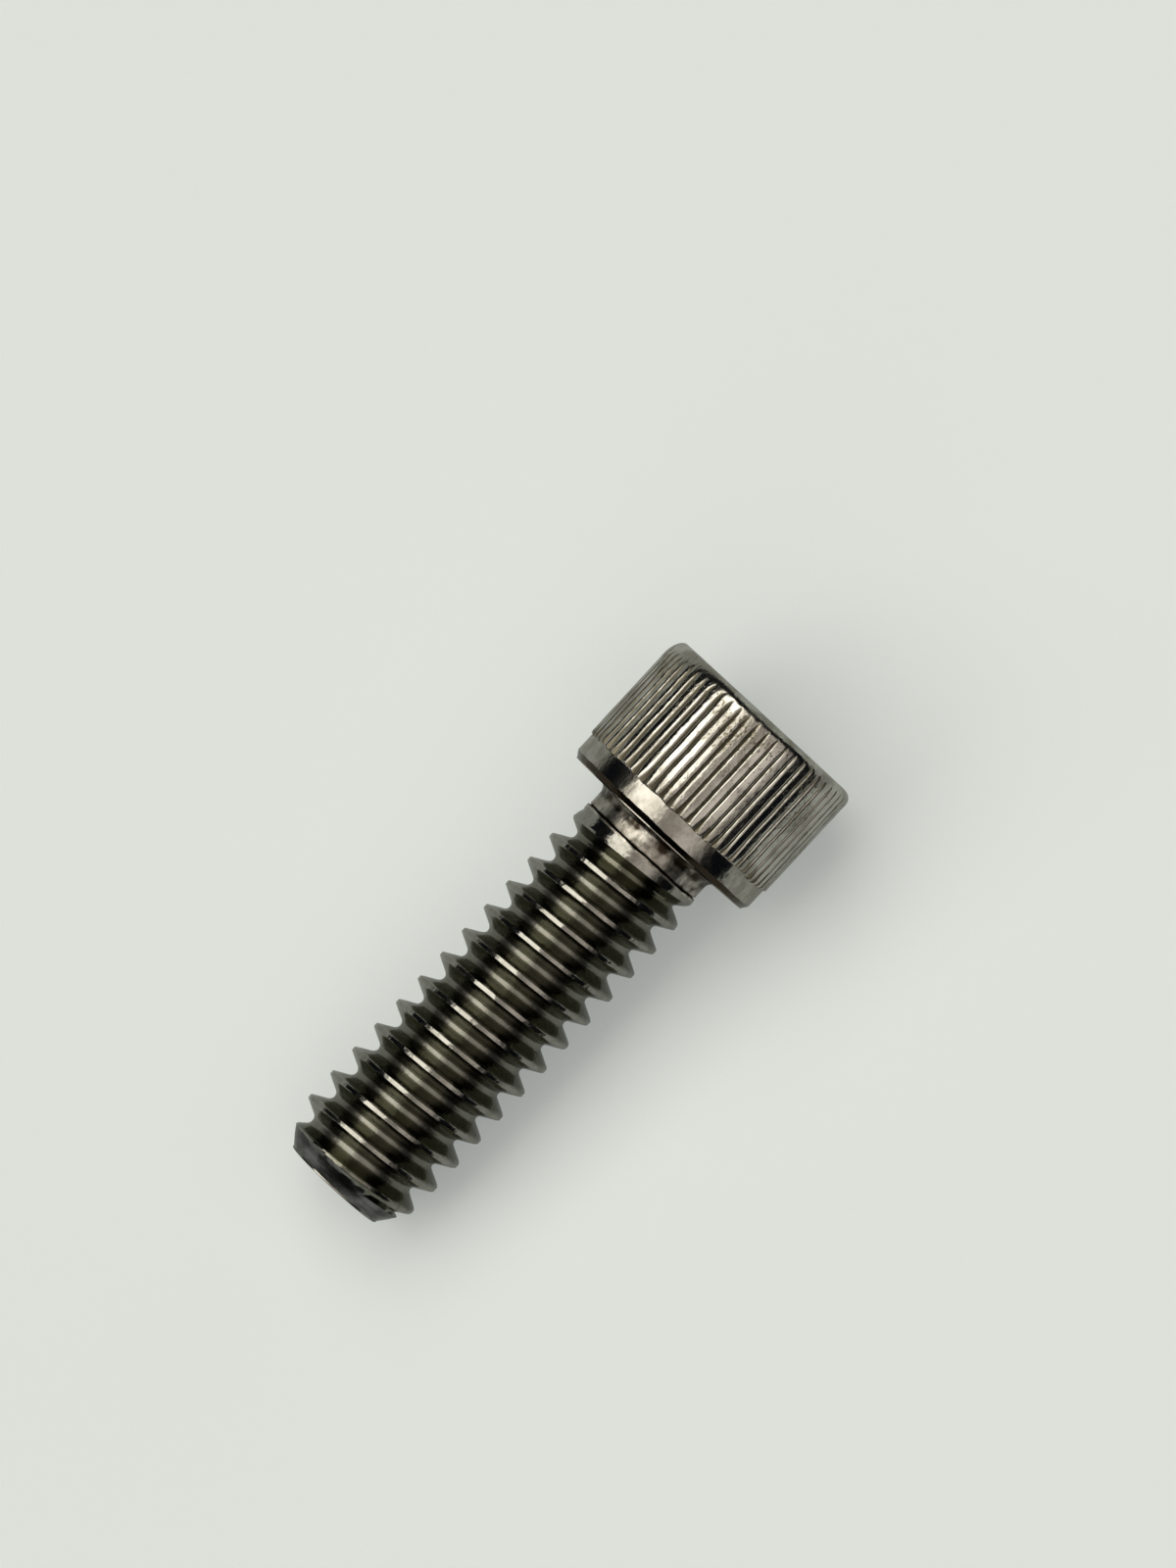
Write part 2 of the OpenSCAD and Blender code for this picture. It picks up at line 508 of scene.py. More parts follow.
def head_tree():
    """Turns the head's section round the axis, with the hexagon and the knurl's ridges worked in."""
    graph, given = new_geometry_tree("turned_head", {
        "Outline": "NodeSocketObject", "Rows": "NodeSocketInt", "Ridges": "NodeSocketInt",
        "Ridge Points": "NodeSocketInt", "Ridge Depth": "NodeSocketFloat",
        "Ridge Flatness": "NodeSocketFloat", "Edge Lean": "NodeSocketFloat",
        "Mouth Radius": "NodeSocketFloat", "Seed": "NodeSocketInt"})
    columns = given["Ridges"] * given["Ridge Points"]
    grid, column, row = turned_grid(graph, columns, given["Rows"])
    outline = graph.value("GeometryNodeObjectInfo", {"Object": given["Outline"]}, output="Geometry")

    def named(name):
        return outline_value(graph, outline, "FLOAT", stored(graph, name), row)

    radius, height = outline_place(graph, outline, row)
    ridge, flare = named("ridge"), named("flare")
    # Plain columns: every one on the head's outside, every third on the coarse rows
    step = graph.blend(1.0, columns / SHANK_COLUMNS, named("coarse"))
    plain = graph.math("FLOOR", column / step + ROUND_GUARD) * step / columns
    knurled, across, depth, end = knurl_column(graph, given, column, height)
    on_ridge = graph.math("MINIMUM", ridge * RIDGE_COLUMNS_SOONER, 1.0)
    angle = graph.blend(plain, knurled, on_ridge) * TURN
    turned_x, turned_y = graph.math("COSINE", angle), graph.math("SINE", angle)

    # The hexagon, and the mouth's cone where it cuts the hexagon's flats
    radius = graph.blend(radius, hexagon_radius(graph, radius, angle), named("hexagon"))
    height = graph.blend(height, given["Mouth Radius"] - radius, named("mouth"))
    # The ridges, their uneven ends, and the rounded top edge that is higher on one side
    side = graph.ramp(turned_x, -SIDE_CHANGE, SIDE_CHANGE, FLAT_SIDE, ROUND_SIDE)
    flatness = given["Ridge Flatness"] * side * (1.0 - flare * (FLARE_LEAST + end * FLARE_OWN))
    lower = graph.math("POWER", graph.math("ABSOLUTE", across), flatness)
    depth = depth * given["Ridge Depth"] * (1.0 + flare * FLARE_DEEPER)
    radius = radius - lower * depth * ridge
    height = height + turned_x * named("lean") * given["Edge Lean"]
    height = height + (end - 0.5) * named("run_out") * RUN_OUT_UNEVEN
    # Waves in the chamfer's and the neck line's edges, and small dents in the ridges
    spot = graph.vector(turned_x, turned_y, height * WAVE_NOISE_PER_M)
    height = height - graph.noise(spot, 4.0, detail=3.0) * named("wave") * EDGE_WAVE
    dent_x, dent_y = turned_x * DENT_NOISE_ROUND, turned_y * DENT_NOISE_ROUND
    spot = graph.vector(dent_x, dent_y, height * DENT_NOISE_PER_M)
    radius = radius - graph.noise(spot, 1.0) * ridge * DENT_DEPTH

    # How deep a point lies in a knurl groove, plus the rows' marks; the materials paint shade and grime
    # from it
    hollow = lower * graph.math("MINIMUM", ridge * RIDGE_SHADE_AND_GRIME_SOONER, 1.0) + named("grime")
    place = (radius * turned_x, radius * turned_y, height)
    graph.node("NodeGroupOutput", [bent(graph, grid, place, {"hollow": hollow})])
    return graph.tree


def thread_rows():
    """One pitch of the thread's form, crest to crest: heights from the crest's middle, and radii."""
    inner_drop, outer_drop = CREST_EDGE_DROPS
    rows = [(0.0, THREAD_R), (CREST_HALF * CREST_EDGE_SHARE, THREAD_R - inner_drop)]
    rows.append((CREST_HALF, THREAD_R - outer_drop))
    for share in FLANK_SHARES:
        z = CREST_HALF + (TANGENT_Z - CREST_HALF) * share
        rows.append((z, THREAD_R - (z - CREST_HALF) / math.tan(FLANK)))
    for step in range(ROOT_ROWS, -1, -1):
        a = (FLANK - math.pi / 2) * step / ROOT_ROWS
        rows.append((PITCH / 2 + ROOT_ARC_R * math.sin(a), ROOT_R + ROOT_ARC_R * (1 - math.cos(a))))
    rows += [(PITCH - z, r) for z, r in reversed(rows[1:-1])]
    return [dict(r=r, z=z) for z, r in rows]


def point_cone(graph, left):
    """The radius of the point's cone by what is left of the length: end chamfer, shoulder and corner."""
    cone = graph.ramp(left, 0.0, END_CHAMFER_L, END_R, SHOULDER_R)
    cone = cone + graph.ramp(left, END_CHAMFER_L, SHOULDER_L, 0.0, CORNER_R - SHOULDER_R)
    return cone + graph.ramp(left, SHOULDER_L, CORNER_L, 0.0, THREAD_R + CORNER_ROUND - CORNER_R)


def thread_limits(graph, given, height, cone, wear):
    """The least and the greatest radius of the thread, which close on the neck at one end and on the
    point's cone at the other."""
    start_r, thread_r = given["Start Radius"], given["Thread Radius"]
    deep_r = thread_r - BELOW_ROOTS
    above = height - given["Neck End"]
    greatest = graph.ramp(above, 0.0, CREST_RISE_H, start_r, thread_r)
    greatest = greatest - wear * graph.ramp(above, 0.0, WEAR_RISE_H)
    greatest = graph.math("MINIMUM", greatest, cone)
    least = graph.ramp(above, GROOVE_START_H, GROOVE_FULL_H, start_r, deep_r, smooth=True)
    left = given["Length"] - height
    filled = graph.ramp(left, FILLED_L, UNFILLED_L, thread_r, deep_r, smooth=True)
    return graph.math("MINIMUM", graph.math("MAXIMUM", least, filled), greatest), greatest


def end_closed(graph, past, radius, height):
    """Turns the rows past the cone into the end's narrow lip, its rounded edge and the end face. Each
    corner is held for the length of a row gap, so that a row lies on it all round."""
    rounded = graph.ramp(past, ROW_GAP * 3, ROW_GAP * 4) * END_ROUND
    height = height + graph.ramp(past, ROW_GAP, ROW_GAP * 2, 0.0, END_LIP) + rounded
    closing = graph.ramp(past, ROW_GAP * 5, ROW_GAP * 8, 1.0, 0.0)
    closing = closing * graph.math("GREATER_THAN", closing, NEAR_AXIS)
    return (radius - rounded) * closing, height


def thread_tree():
    """Winds the thread's form round the axis as a right-hand helix, from the neck to the end face."""
    graph, given = new_geometry_tree("rolled_thread", {
        "Form": "NodeSocketObject", "Form Points": "NodeSocketInt", "Turns": "NodeSocketInt",
        "Columns": "NodeSocketInt", "Pitch": "NodeSocketFloat", "Start": "NodeSocketFloat",
        "Neck End": "NodeSocketFloat", "Length": "NodeSocketFloat", "Start Radius": "NodeSocketFloat",
        "Thread Radius": "NodeSocketFloat"})
    points, pitch = given["Form Points"], given["Pitch"]
    grid, column, row = turned_grid(graph, given["Columns"], points * given["Turns"] + 1.0)
    share = column / given["Columns"]
    turn = graph.math("FLOOR", row / points)
    turned_x, turned_y = graph.math("COSINE", share * TURN), graph.math("SINE", share * TURN)
    form = graph.value("GeometryNodeObjectInfo", {"Object": given["Form"]}, output="Geometry")
    form_radius, from_crest = outline_place(graph, form, row % points)

    # Heights: the form rises with the turns, wanders a little, and stays between the neck and the lip. The
    # noises read a place along the winding, so that they differ from turn to turn
    along = graph.vector(turned_x * 2.0, turned_y * 2.0, (row / points + share) * 2.0)
    wander = (graph.noise(along, 1.4) - 0.5) * THREAD_WANDER
    near_flank = graph.math("LESS_THAN", from_crest, pitch * NEAR_FLANK_SHARE)
    crest_height = given["Start"] + (turn + share + 1.0 - near_flank) * pitch
    raised = given["Start"] + (turn + share) * pitch + from_crest + wander
    lip_start = given["Length"] - END_LIP - END_ROUND
    height = graph.math("MINIMUM", graph.math("MAXIMUM", raised, given["Neck End"]), lip_start)

    # Radii: the last turn grows lower, and the point cuts it off with a rounded corner
    left = given["Length"] - height
    cone = point_cone(graph, left)
    wear = (graph.noise(along, 2.6) + graph.noise(along, 12.0)) * CREST_WEAR
    least, greatest = thread_limits(graph, given, height, cone, wear)
    sunk = graph.ramp(crest_height, TOTAL_L - SINK_START_L, TOTAL_L - SINK_END_L, 0.0, SINK_SHARE)
    form_radius = ROOT_R + (form_radius - ROOT_R) * (1.0 - sunk)
    radius = graph.math("SMOOTH_MIN", form_radius, cone, CORNER_ROUND)
    radius = graph.math("MAXIMUM", graph.math("MINIMUM", radius, greatest), least)

    on_cone = graph.ramp(cone - radius, 0.0, CONE_EDGE, 1.0, 0.0)
    on_cone = on_cone * graph.ramp(left, SHOULDER_L, CORNER_L, 1.0, 0.0)
    past = raised - lip_start
    # The hollow below the crests, from which the materials paint shade and grime in the thread's grooves
    marks = {"hollow": (greatest - radius) / HOLLOW_UNIT, "on_cone": on_cone, "near_flank": near_flank,
             "end_face": graph.math("GREATER_THAN", past, 0.0)}
    radius, height = end_closed(graph, past, radius, height)
    place = (radius * turned_x, radius * turned_y, height)
    graph.node("NodeGroupOutput", [bent(graph, grid, place, marks)])
    return graph.tree


def screw_tree(materials):
    """The whole screw: its head and its thread, welded into one, shaded and given their finishes."""
    graph, given = new_geometry_tree("whole_screw", {
        "Head Outline": "NodeSocketObject", "Head Rows": "NodeSocketInt",
        "Thread Form": "NodeSocketObject", "Form Points": "NodeSocketInt", "Ridges": "NodeSocketInt",
        "Ridge Depth": "NodeSocketFloat", "Pitch": "NodeSocketFloat", "Seed": "NodeSocketInt"})
    head = graph.value("GeometryNodeGroup", node_tree=head_tree(), inputs={
        "Outline": given["Head Outline"], "Rows": given["Head Rows"], "Ridges": given["Ridges"],
        "Ridge Points": RIDGE_POINTS, "Ridge Depth": given["Ridge Depth"],
        "Ridge Flatness": RIDGE_FLATNESS, "Edge Lean": TOP_EDGE_LEAN, "Mouth Radius": MOUTH_R,
        "Seed": given["Seed"]})
    # The rows start at a crest that lies below the neck's end, and run on past the screw's end
    start = CREST_AT - PITCH * math.ceil((CREST_AT - NECK_END) / PITCH + 1)
    turns = math.ceil((TOTAL_L - NECK_END + PAST_END) / PITCH) + 2
    thread = graph.value("GeometryNodeGroup", node_tree=thread_tree(), inputs={
        "Form": given["Thread Form"], "Form Points": given["Form Points"], "Turns": turns,
        "Columns": SHANK_COLUMNS, "Pitch": given["Pitch"], "Start": start, "Neck End": NECK_END,
        "Length": TOTAL_L, "Start Radius": THREAD_START_R, "Thread Radius": THREAD_R})
    joined = graph.node("GeometryNodeJoinGeometry")
    for part in (thread, head):
        graph.feed(joined.inputs[0], part)
    screw = graph.value("GeometryNodeMergeByDistance", {"Geometry": graph.out(joined), "Distance": WELD})
    bend = graph.value("GeometryNodeInputMeshEdgeAngle", output="Unsigned Angle")
    smooth_edge = graph.math("MAXIMUM", graph.math("LESS_THAN", bend, SMOOTH_BELOW), on_ridges(graph))
    for domain, smooth in (("FACE", True), ("EDGE", smooth_edge)):
        inputs = {"Geometry": screw, "Shade Smooth": smooth}
        screw = graph.value("GeometryNodeSetShadeSmooth", inputs, domain=domain)
    realized = graph.value("GeometryNodeRealizeInstances", {"Geometry": screw})
    graph.node("NodeGroupOutput", [finished(graph, realized, materials)])
    return graph.tree


def section_place(graph):
    """A point's distance from the axis and its height."""
    x, y, z = graph.parts(graph.value("GeometryNodeInputPosition"))
    return graph.math("SQRT", x * x + y * y), z


def on_ridges(graph):
    """1 on the knurl as far as its ridges' ends, else 0."""
    radius, z = section_place(graph)
    before_ends = graph.math("LESS_THAN", z, KNURL_TOP - BAND_STEP - RIDGE_END_CLEAR)
    return before_ends * graph.math("GREATER_THAN", radius, HEAD_R - TOP_EDGE_W)


def finished(graph, screw, materials):
    """Gives each region of the screw its own finish. Each region overrules those before it."""
    radius, z = section_place(graph)

    def below(value, limit):
        return graph.math("LESS_THAN", value, limit)

    rim_r = HEAD_R - TOP_EDGE_W
    socket_end = SOCKET_DEPTH + SOCKET_CONE_H + SOCKET_CLEAR
    regions = [
        ("rolled_thread", True),
        ("plain_neck", below(z, NECK_END)),
        ("turned_band", below(z, HEAD_H + BAND_CLEAR)),
        ("knurled_grip", below(z, KNURL_TOP) * below(rim_r, radius)),
        ("broached_socket", below(z, socket_end) * below(radius, MOUTH_R)),
        ("cut_end", below(END_FACE_SHARE, stored(graph, "end_face"))),
    ]
    for name, where in regions:
        inputs = {"Geometry": screw, "Selection": where, "Material": materials[name]}
        screw = graph.value("GeometryNodeSetMaterial", inputs)
    return screw


def grown(name, tree, inputs):
    """The plain mesh object that a geometry tree makes with those inputs, given by their names."""
    maker = bpy.data.objects.new(name + "_maker", bpy.data.meshes.new(name + "_maker"))
    bpy.context.scene.collection.objects.link(maker)
    modifier = maker.modifiers.new("maker", "NODES")
    modifier.node_group = tree
    for item in tree.interface.items_tree:
        if item.in_out == "INPUT" and item.name in inputs:
            modifier[item.identifier] = inputs[item.name]
    evaluated = bpy.context.evaluated_depsgraph_get()
    mesh = bpy.data.meshes.new_from_object(
        maker.evaluated_get(evaluated), preserve_all_data_layers=True, depsgraph=evaluated)
    mesh.name = name
    for slot in reversed(range(len(mesh.materials))):
        if mesh.materials[slot] is None:
            mesh.materials.pop(index=slot)
    piece = bpy.data.objects.new(name, mesh)
    bpy.context.scene.collection.objects.link(piece)
    bpy.data.objects.remove(maker)
    return piece


# The steel's finishes

def new_shader_group(name, inputs, outputs):
    """A shader group with those named sockets: its graph and its inputs' values by name."""
    tree = bpy.data.node_groups.new(name, "ShaderNodeTree")
    for title, kind in inputs.items():
        tree.interface.new_socket(title, in_out="INPUT", socket_type=kind)
    for title, kind in outputs.items():
        tree.interface.new_socket(title, in_out="OUTPUT", socket_type=kind)
    graph = Graph(tree)
    entry = graph.node("NodeGroupInput")
    return graph, {title: graph.out(entry, title) for title in inputs}


def mark(graph, name):
    """A value that the mesh stores under that name, for a material."""
    return graph.value("ShaderNodeAttribute", output="Fac", attribute_name=name)


def object_place(graph):
    return graph.value("ShaderNodeTexCoord", output="Object")


def stretched(graph, place, factors):
    return graph.value("ShaderNodeVectorMath", (place, factors), operation="MULTIPLY")


# Uneven steel: the grain is finer than the dents by this factor. Pits lie where the grain and how clean
# the steel is, in these shares, add up to little
GRAIN_FINER = 2.2
PITS_FROM_GRAIN = 0.6
PITS_FROM_CLEAN = 0.4
PITS_FULL = 0.37
PITS_NONE = 0.48


def mottle_group():
    """Uneven steel: wide dull patches, small pits from 0 to 1, and the height of dents and grain."""
    graph, given = new_shader_group(
        "mottle",
        {"Patch Size": "NodeSocketFloat", "Dent Size": "NodeSocketFloat", "Grain": "NodeSocketFloat",
         "Stretch": "NodeSocketVector"},
        {"Patches": "NodeSocketFloat", "Pits": "NodeSocketFloat", "Height": "NodeSocketFloat"})
    place = stretched(graph, object_place(graph), given["Stretch"])
    patches = graph.noise(place, 1.0 / given["Patch Size"], detail=3.0, roughness=0.6)
    dents = graph.noise(place, 1.0 / given["Dent Size"], detail=1.0)
    grain = graph.noise(place, GRAIN_FINER / given["Dent Size"])
    mixed = grain * PITS_FROM_GRAIN + (1.0 - patches) * PITS_FROM_CLEAN
    pits = graph.ramp(mixed, PITS_FULL, PITS_NONE, 1.0, 0.0, smooth=True)
    graph.node("NodeGroupOutput", [patches, pits, dents + grain * given["Grain"]])
    return graph.tree


# Painted shade and grime in the hollows: the hollows at which a root begins and is full, how much less
# painted shade a root gets, so that its reflection stays bright, and a groove's flank nearer to the head,
# which is thus painted lighter than the other flank, and the noise at which a grime spot begins and is
# full
ROOT_BEGINS = 1.16
ROOT_FULL = 1.46
ROOT_LESS_SHADED = 0.5
NEAR_FLANK_LESS_SHADED = 0.25
SPOT_BEGINS = 0.52
SPOT_FULL = 0.66


def shade_and_grime_group():
    """Painted shade and grime in the hollows that the mesh marks, grime in spots, and where the thread's
    roots are.
    """
    graph, given = new_shader_group(
        "grime",
        {"From": "NodeSocketFloat", "To": "NodeSocketFloat", "Uneven": "NodeSocketFloat",
         "Spots": "NodeSocketFloat", "Spot Size": "NodeSocketFloat"},
        {"Grime": "NodeSocketFloat", "Root": "NodeSocketFloat"})
    hollow = mark(graph, "hollow")
    blotches = graph.noise(object_place(graph), 1.0 / given["Spot Size"], detail=3.0)
    root = graph.ramp(hollow, ROOT_BEGINS, ROOT_FULL, smooth=True)
    # The hollows get painted shade, partly grime, with edges made uneven by the blotches
    uneven = hollow + (blotches - 0.5) * given["Uneven"]
    shade_in_hollows = graph.ramp(uneven, given["From"], given["To"], smooth=True)
    # Roots get less painted shade, and the flank nearer to the head gets less, so it is painted lighter
    # than the other
    shade_in_hollows = shade_in_hollows * (1.0 - root * ROOT_LESS_SHADED)
    shade_in_hollows = shade_in_hollows * (1.0 - mark(graph, "near_flank") * NEAR_FLANK_LESS_SHADED)
    spots = graph.ramp(blotches, SPOT_BEGINS, SPOT_FULL, smooth=True) * given["Spots"]
    graph.node("NodeGroupOutput", [graph.math("MAXIMUM", shade_in_hollows, spots), root])
    return graph.tree


# The tint of steel at a grazing angle: on the screw's outside, and on its end face and in its socket
BRIGHT_EDGE = (0.9, 0.9, 0.87, 1)
PLAIN_EDGE = (0.5, 0.5, 0.49, 1)
# Each finish: the colours of clean steel, dull steel and of the painted shade and grime in the hollows,
# which the pits share; the roughness of clean and dull steel and of a root; the sizes of patches, dents
# and spots and the depth of the bumps, in millimetres; how the patches are stretched; how strong grain,
# pits and spots are; and the hollows at which the painted shade begins and is full, with how uneven that
# is
FINISHES = {
    "knurled_grip": dict(
        clean=(0.60, 0.59, 0.53), dull=(0.37, 0.355, 0.31), grime=(0.19, 0.175, 0.125),
        rough=(0.12, 0.21), root_rough=0.2, patch=1.3, dent=0.25, stretch=(1, 1, 0.8),
        bump=0.014, grain=0.06, pits=0.65, hollows=(0.12, 0.5), uneven=0.5, spots=0.0, spot=0.3,
        edge=BRIGHT_EDGE, grime_rough=0.5, pitted_top=True),
    "turned_band": dict(
        clean=(0.47, 0.46, 0.41), dull=(0.34, 0.325, 0.28), grime=(0.04, 0.03, 0.018),
        rough=(0.13, 0.2), root_rough=0.2, patch=0.8, dent=0.35, stretch=(1, 1, 1),
        bump=0.012, grain=0.3, pits=0.12, hollows=(0.3, 0.8), uneven=1.2, spots=0.1, spot=0.55,
        edge=BRIGHT_EDGE),
    "plain_neck": dict(
        clean=(0.58, 0.555, 0.49), dull=(0.41, 0.385, 0.325), grime=(0.03, 0.022, 0.014),
        rough=(0.28, 0.38), root_rough=0.3, patch=0.6, dent=0.35, stretch=(1, 1, 0.7),
        bump=0.02, grain=0.3, pits=0.3, hollows=(0.1, 0.95), uneven=2.0, spots=0.7, spot=0.5,
        edge=BRIGHT_EDGE),
    "rolled_thread": dict(
        clean=(0.36, 0.355, 0.32), dull=(0.30, 0.295, 0.26), grime=(0.112, 0.112, 0.076),
        rough=(0.12, 0.18), root_rough=0.3, patch=0.7, dent=0.3, stretch=(1, 1, 1),
        bump=0.010, grain=0.3, pits=0.3, hollows=(0.05, 0.4), uneven=0.5, spots=0.0, spot=0.3,
        edge=BRIGHT_EDGE, with_cone=True),
    "cut_end": dict(
        clean=(0.40, 0.39, 0.35), dull=(0.28, 0.27, 0.24), grime=(0.05, 0.045, 0.035),
        rough=(0.16, 0.26), root_rough=0.3, patch=0.8, dent=0.3, stretch=(1, 1, 1),
        bump=0.006, grain=0.3, pits=0.2, hollows=(0.3, 1.0), uneven=0.5, spots=0.3, spot=0.6),
    "broached_socket": dict(
        clean=(0.36, 0.35, 0.31), dull=(0.27, 0.26, 0.22), grime=(0.06, 0.05, 0.04),
        rough=(0.20, 0.32), root_rough=0.3, patch=0.5, dent=0.25, stretch=(1, 1, 0.2),
        bump=0.006, grain=0.2, pits=0.2, hollows=(2.0, 3.0), uneven=0.5, spots=0.3, spot=0.6),
}
# The noise of the patches between which clean steel turns dull, and how deep a pit is in the bumps
DULL_BEGINS = 0.38
DULL_FULL = 0.62
PIT_DEPTH = 0.3
# More and fewer pits on the knurl by the distance from the top face: from where to where, and the shares
TOP_PITS_RISE = (0.3 * MM, 0.8 * MM, 0.3, 1.0)
TOP_PITS_FALL = (1.0 * MM, 3.4 * MM, 2.0, 0.7)
# The point's cone: its lighter and darker streaks, how fine they are, the noise at which they begin and
# are full, and its roughness
CONE_LIGHT = (0.24, 0.24, 0.235, 1)
CONE_DARK = (0.06, 0.06, 0.06, 1)
STREAKS_PER_M = (700.0, 700.0, 2600.0)
STREAK_BEGINS = 0.35
STREAK_FULL = 0.62
CONE_ROUGH = 0.24


def streaks(graph):
    """The marks of cutting on the point's cone, which run round it."""
    place = stretched(graph, object_place(graph), STREAKS_PER_M)
    return graph.ramp(graph.noise(place, 1.0, detail=3.0), STREAK_BEGINS, STREAK_FULL, smooth=True)


def mottled(graph, finish, mottle):
    """A finish's dull patches, its pits and the height of its bumps, from the shared group."""
    marks = graph.node("ShaderNodeGroup", node_tree=mottle, inputs={
        "Patch Size": finish["patch"] * MM, "Dent Size": finish["dent"] * MM, "Grain": finish["grain"],
        "Stretch": finish["stretch"]})
    patches, pits, height = (graph.out(marks, title) for title in ("Patches", "Pits", "Height"))
    if finish.get("pitted_top"):
        from_top = graph.parts(object_place(graph))[2]
        pits = pits * graph.ramp(from_top, *TOP_PITS_FALL, smooth=True)
        pits = pits * graph.ramp(from_top, *TOP_PITS_RISE, smooth=True)
    return patches, pits * finish["pits"], height


def shaded_and_grimed(graph, finish, grime):
    """A finish's painted shade and grime and the thread's roots in it, from the shared group."""
    begins, full = finish["hollows"]
    shade_and_dirt = graph.node("ShaderNodeGroup", node_tree=grime, inputs={
        "From": begins, "To": full, "Uneven": finish["uneven"], "Spots": finish["spots"],
        "Spot Size": finish["spot"] * MM})
    return graph.out(shade_and_dirt, "Grime"), graph.out(shade_and_dirt, "Root")


def steel(name, finish, mottle, grime):
    """The material of a finish, with the two shared groups for uneven steel and for painted shade and
    grime.
    """
    material = bpy.data.materials.new(name)
    material.use_nodes = True
    graph = Graph(material.node_tree)
    shader = material.node_tree.nodes["Principled BSDF"]
    shader.inputs["Metallic"].default_value = 1.0
    shader.inputs["Specular Tint"].default_value = finish.get("edge", PLAIN_EDGE)

    patches, pits, height = mottled(graph, finish, mottle)
    shade_and_dirt, root = shaded_and_grimed(graph, finish, grime)
    dulled = graph.ramp(patches, DULL_BEGINS, DULL_FULL, smooth=True)
    clean, dull, shade_and_dirt_colour = ((*finish[key], 1) for key in ("clean", "dull", "grime"))
    # Painted shade and grime in the hollows, and the pits, darken the colour
    colour = graph.mix(graph.mix(clean, dull, dulled), shade_and_dirt_colour, graph.math("MAXIMUM", shade_and_dirt, pits))
    low, high = finish["rough"]
    roughness = graph.blend(graph.blend(low, high, dulled), finish["root_rough"], root)
    if "grime_rough" in finish:
        roughness = graph.blend(roughness, finish["grime_rough"], shade_and_dirt)
    if finish.get("with_cone"):
        on_cone = mark(graph, "on_cone")
        colour = graph.mix(colour, graph.mix(CONE_LIGHT, CONE_DARK, streaks(graph)), on_cone)
        roughness = graph.blend(roughness, CONE_ROUGH, on_cone)
    inputs = {"Height": height - pits * PIT_DEPTH, "Strength": 1.0, "Distance": finish["bump"] * MM}
    graph.feed(shader.inputs["Base Color"], colour)
    graph.feed(shader.inputs["Roughness"], roughness)
    graph.feed(shader.inputs["Normal"], graph.value("ShaderNodeBump", inputs))
    return material


def make_screw():
    """Grows the screw from its two outlines, and takes these away again."""
    rows = socket_rows() + knurl_rows() + band_rows() + neck_rows()
    form = thread_rows()
    head_outline = outline_object("head_outline", rows)
    thread_form = outline_object("thread_form", form)
    for helper in (head_outline, thread_form):
        bpy.context.scene.collection.objects.link(helper)
    mottle, grime = mottle_group(), shade_and_grime_group()
    tree = screw_tree({name: steel(name, finish, mottle, grime) for name, finish in FINISHES.items()})
    screw = grown("screw_steel", tree, {
        "Head Outline": head_outline, "Head Rows": len(rows), "Thread Form": thread_form,
        "Form Points": len(form), "Ridges": RIDGES, "Ridge Depth": RIDGE_DEPTH, "Pitch": PITCH,
        "Seed": SEED})
    for helper in (head_outline, thread_form):
        bpy.data.objects.remove(helper)
    return screw


# The stage

CLOTH_PALE = (0.656, 0.70, 0.687, 1)
CLOTH_GLOW = 0.33
# How bright the steel mirrors the cloth, as a share of how bright the camera sees it
CLOTH_MIRRORED = 0.55
FLOOR_PALE = (0.69, 0.70, 0.675, 1)
FLOOR_GLOW = 0.75
STAGE_ROUGH = 0.9
STAGE_SHINE = 0.1
SKY_PALE = (0.737, 0.753, 0.701, 1)
WALL_TURN = math.radians(7)
STAGE_HALF = 0.6


def one_sided(name, colour, glow, mirrored=1.0):
    """A pale material that shows only on a surface's front. The steel mirrors that share of its light."""
    material = bpy.data.materials.new(name)
    material.use_nodes = True
    graph = Graph(material.node_tree)
    material.node_tree.nodes.clear()
    in_steel = graph.value("ShaderNodeLightPath", output="Is Glossy Ray")
    dimmer = tuple(part * mirrored for part in colour[:3]) + (1,)
    shown = graph.mix(colour, dimmer, in_steel)
    front = graph.value("ShaderNodeBsdfPrincipled", {
        "Base Color": shown, "Roughness": STAGE_ROUGH, "Specular IOR Level": STAGE_SHINE,
        "Emission Color": shown, "Emission Strength": glow})
    clear = graph.value("ShaderNodeBsdfTransparent")
    at_back = graph.value("ShaderNodeNewGeometry", output="Backfacing")
    graph.node("ShaderNodeOutputMaterial", [graph.value("ShaderNodeMixShader", (at_back, front, clear))])
    return material


def sheet(name, centre, across, up, material):
    """A square stage surface about centre, whose front faces along across x up."""
    square = ((-1, -1), (1, -1), (1, 1), (-1, 1))
    corners = [centre + (across * a + up * b) * STAGE_HALF for a, b in square]
    mesh = bpy.data.meshes.new(name)
    mesh.from_pydata(corners, [], [(0, 1, 2, 3)])
    mesh.materials.append(material)
    surface = bpy.data.objects.new(name, mesh)
    bpy.context.scene.collection.objects.link(surface)
    return surface


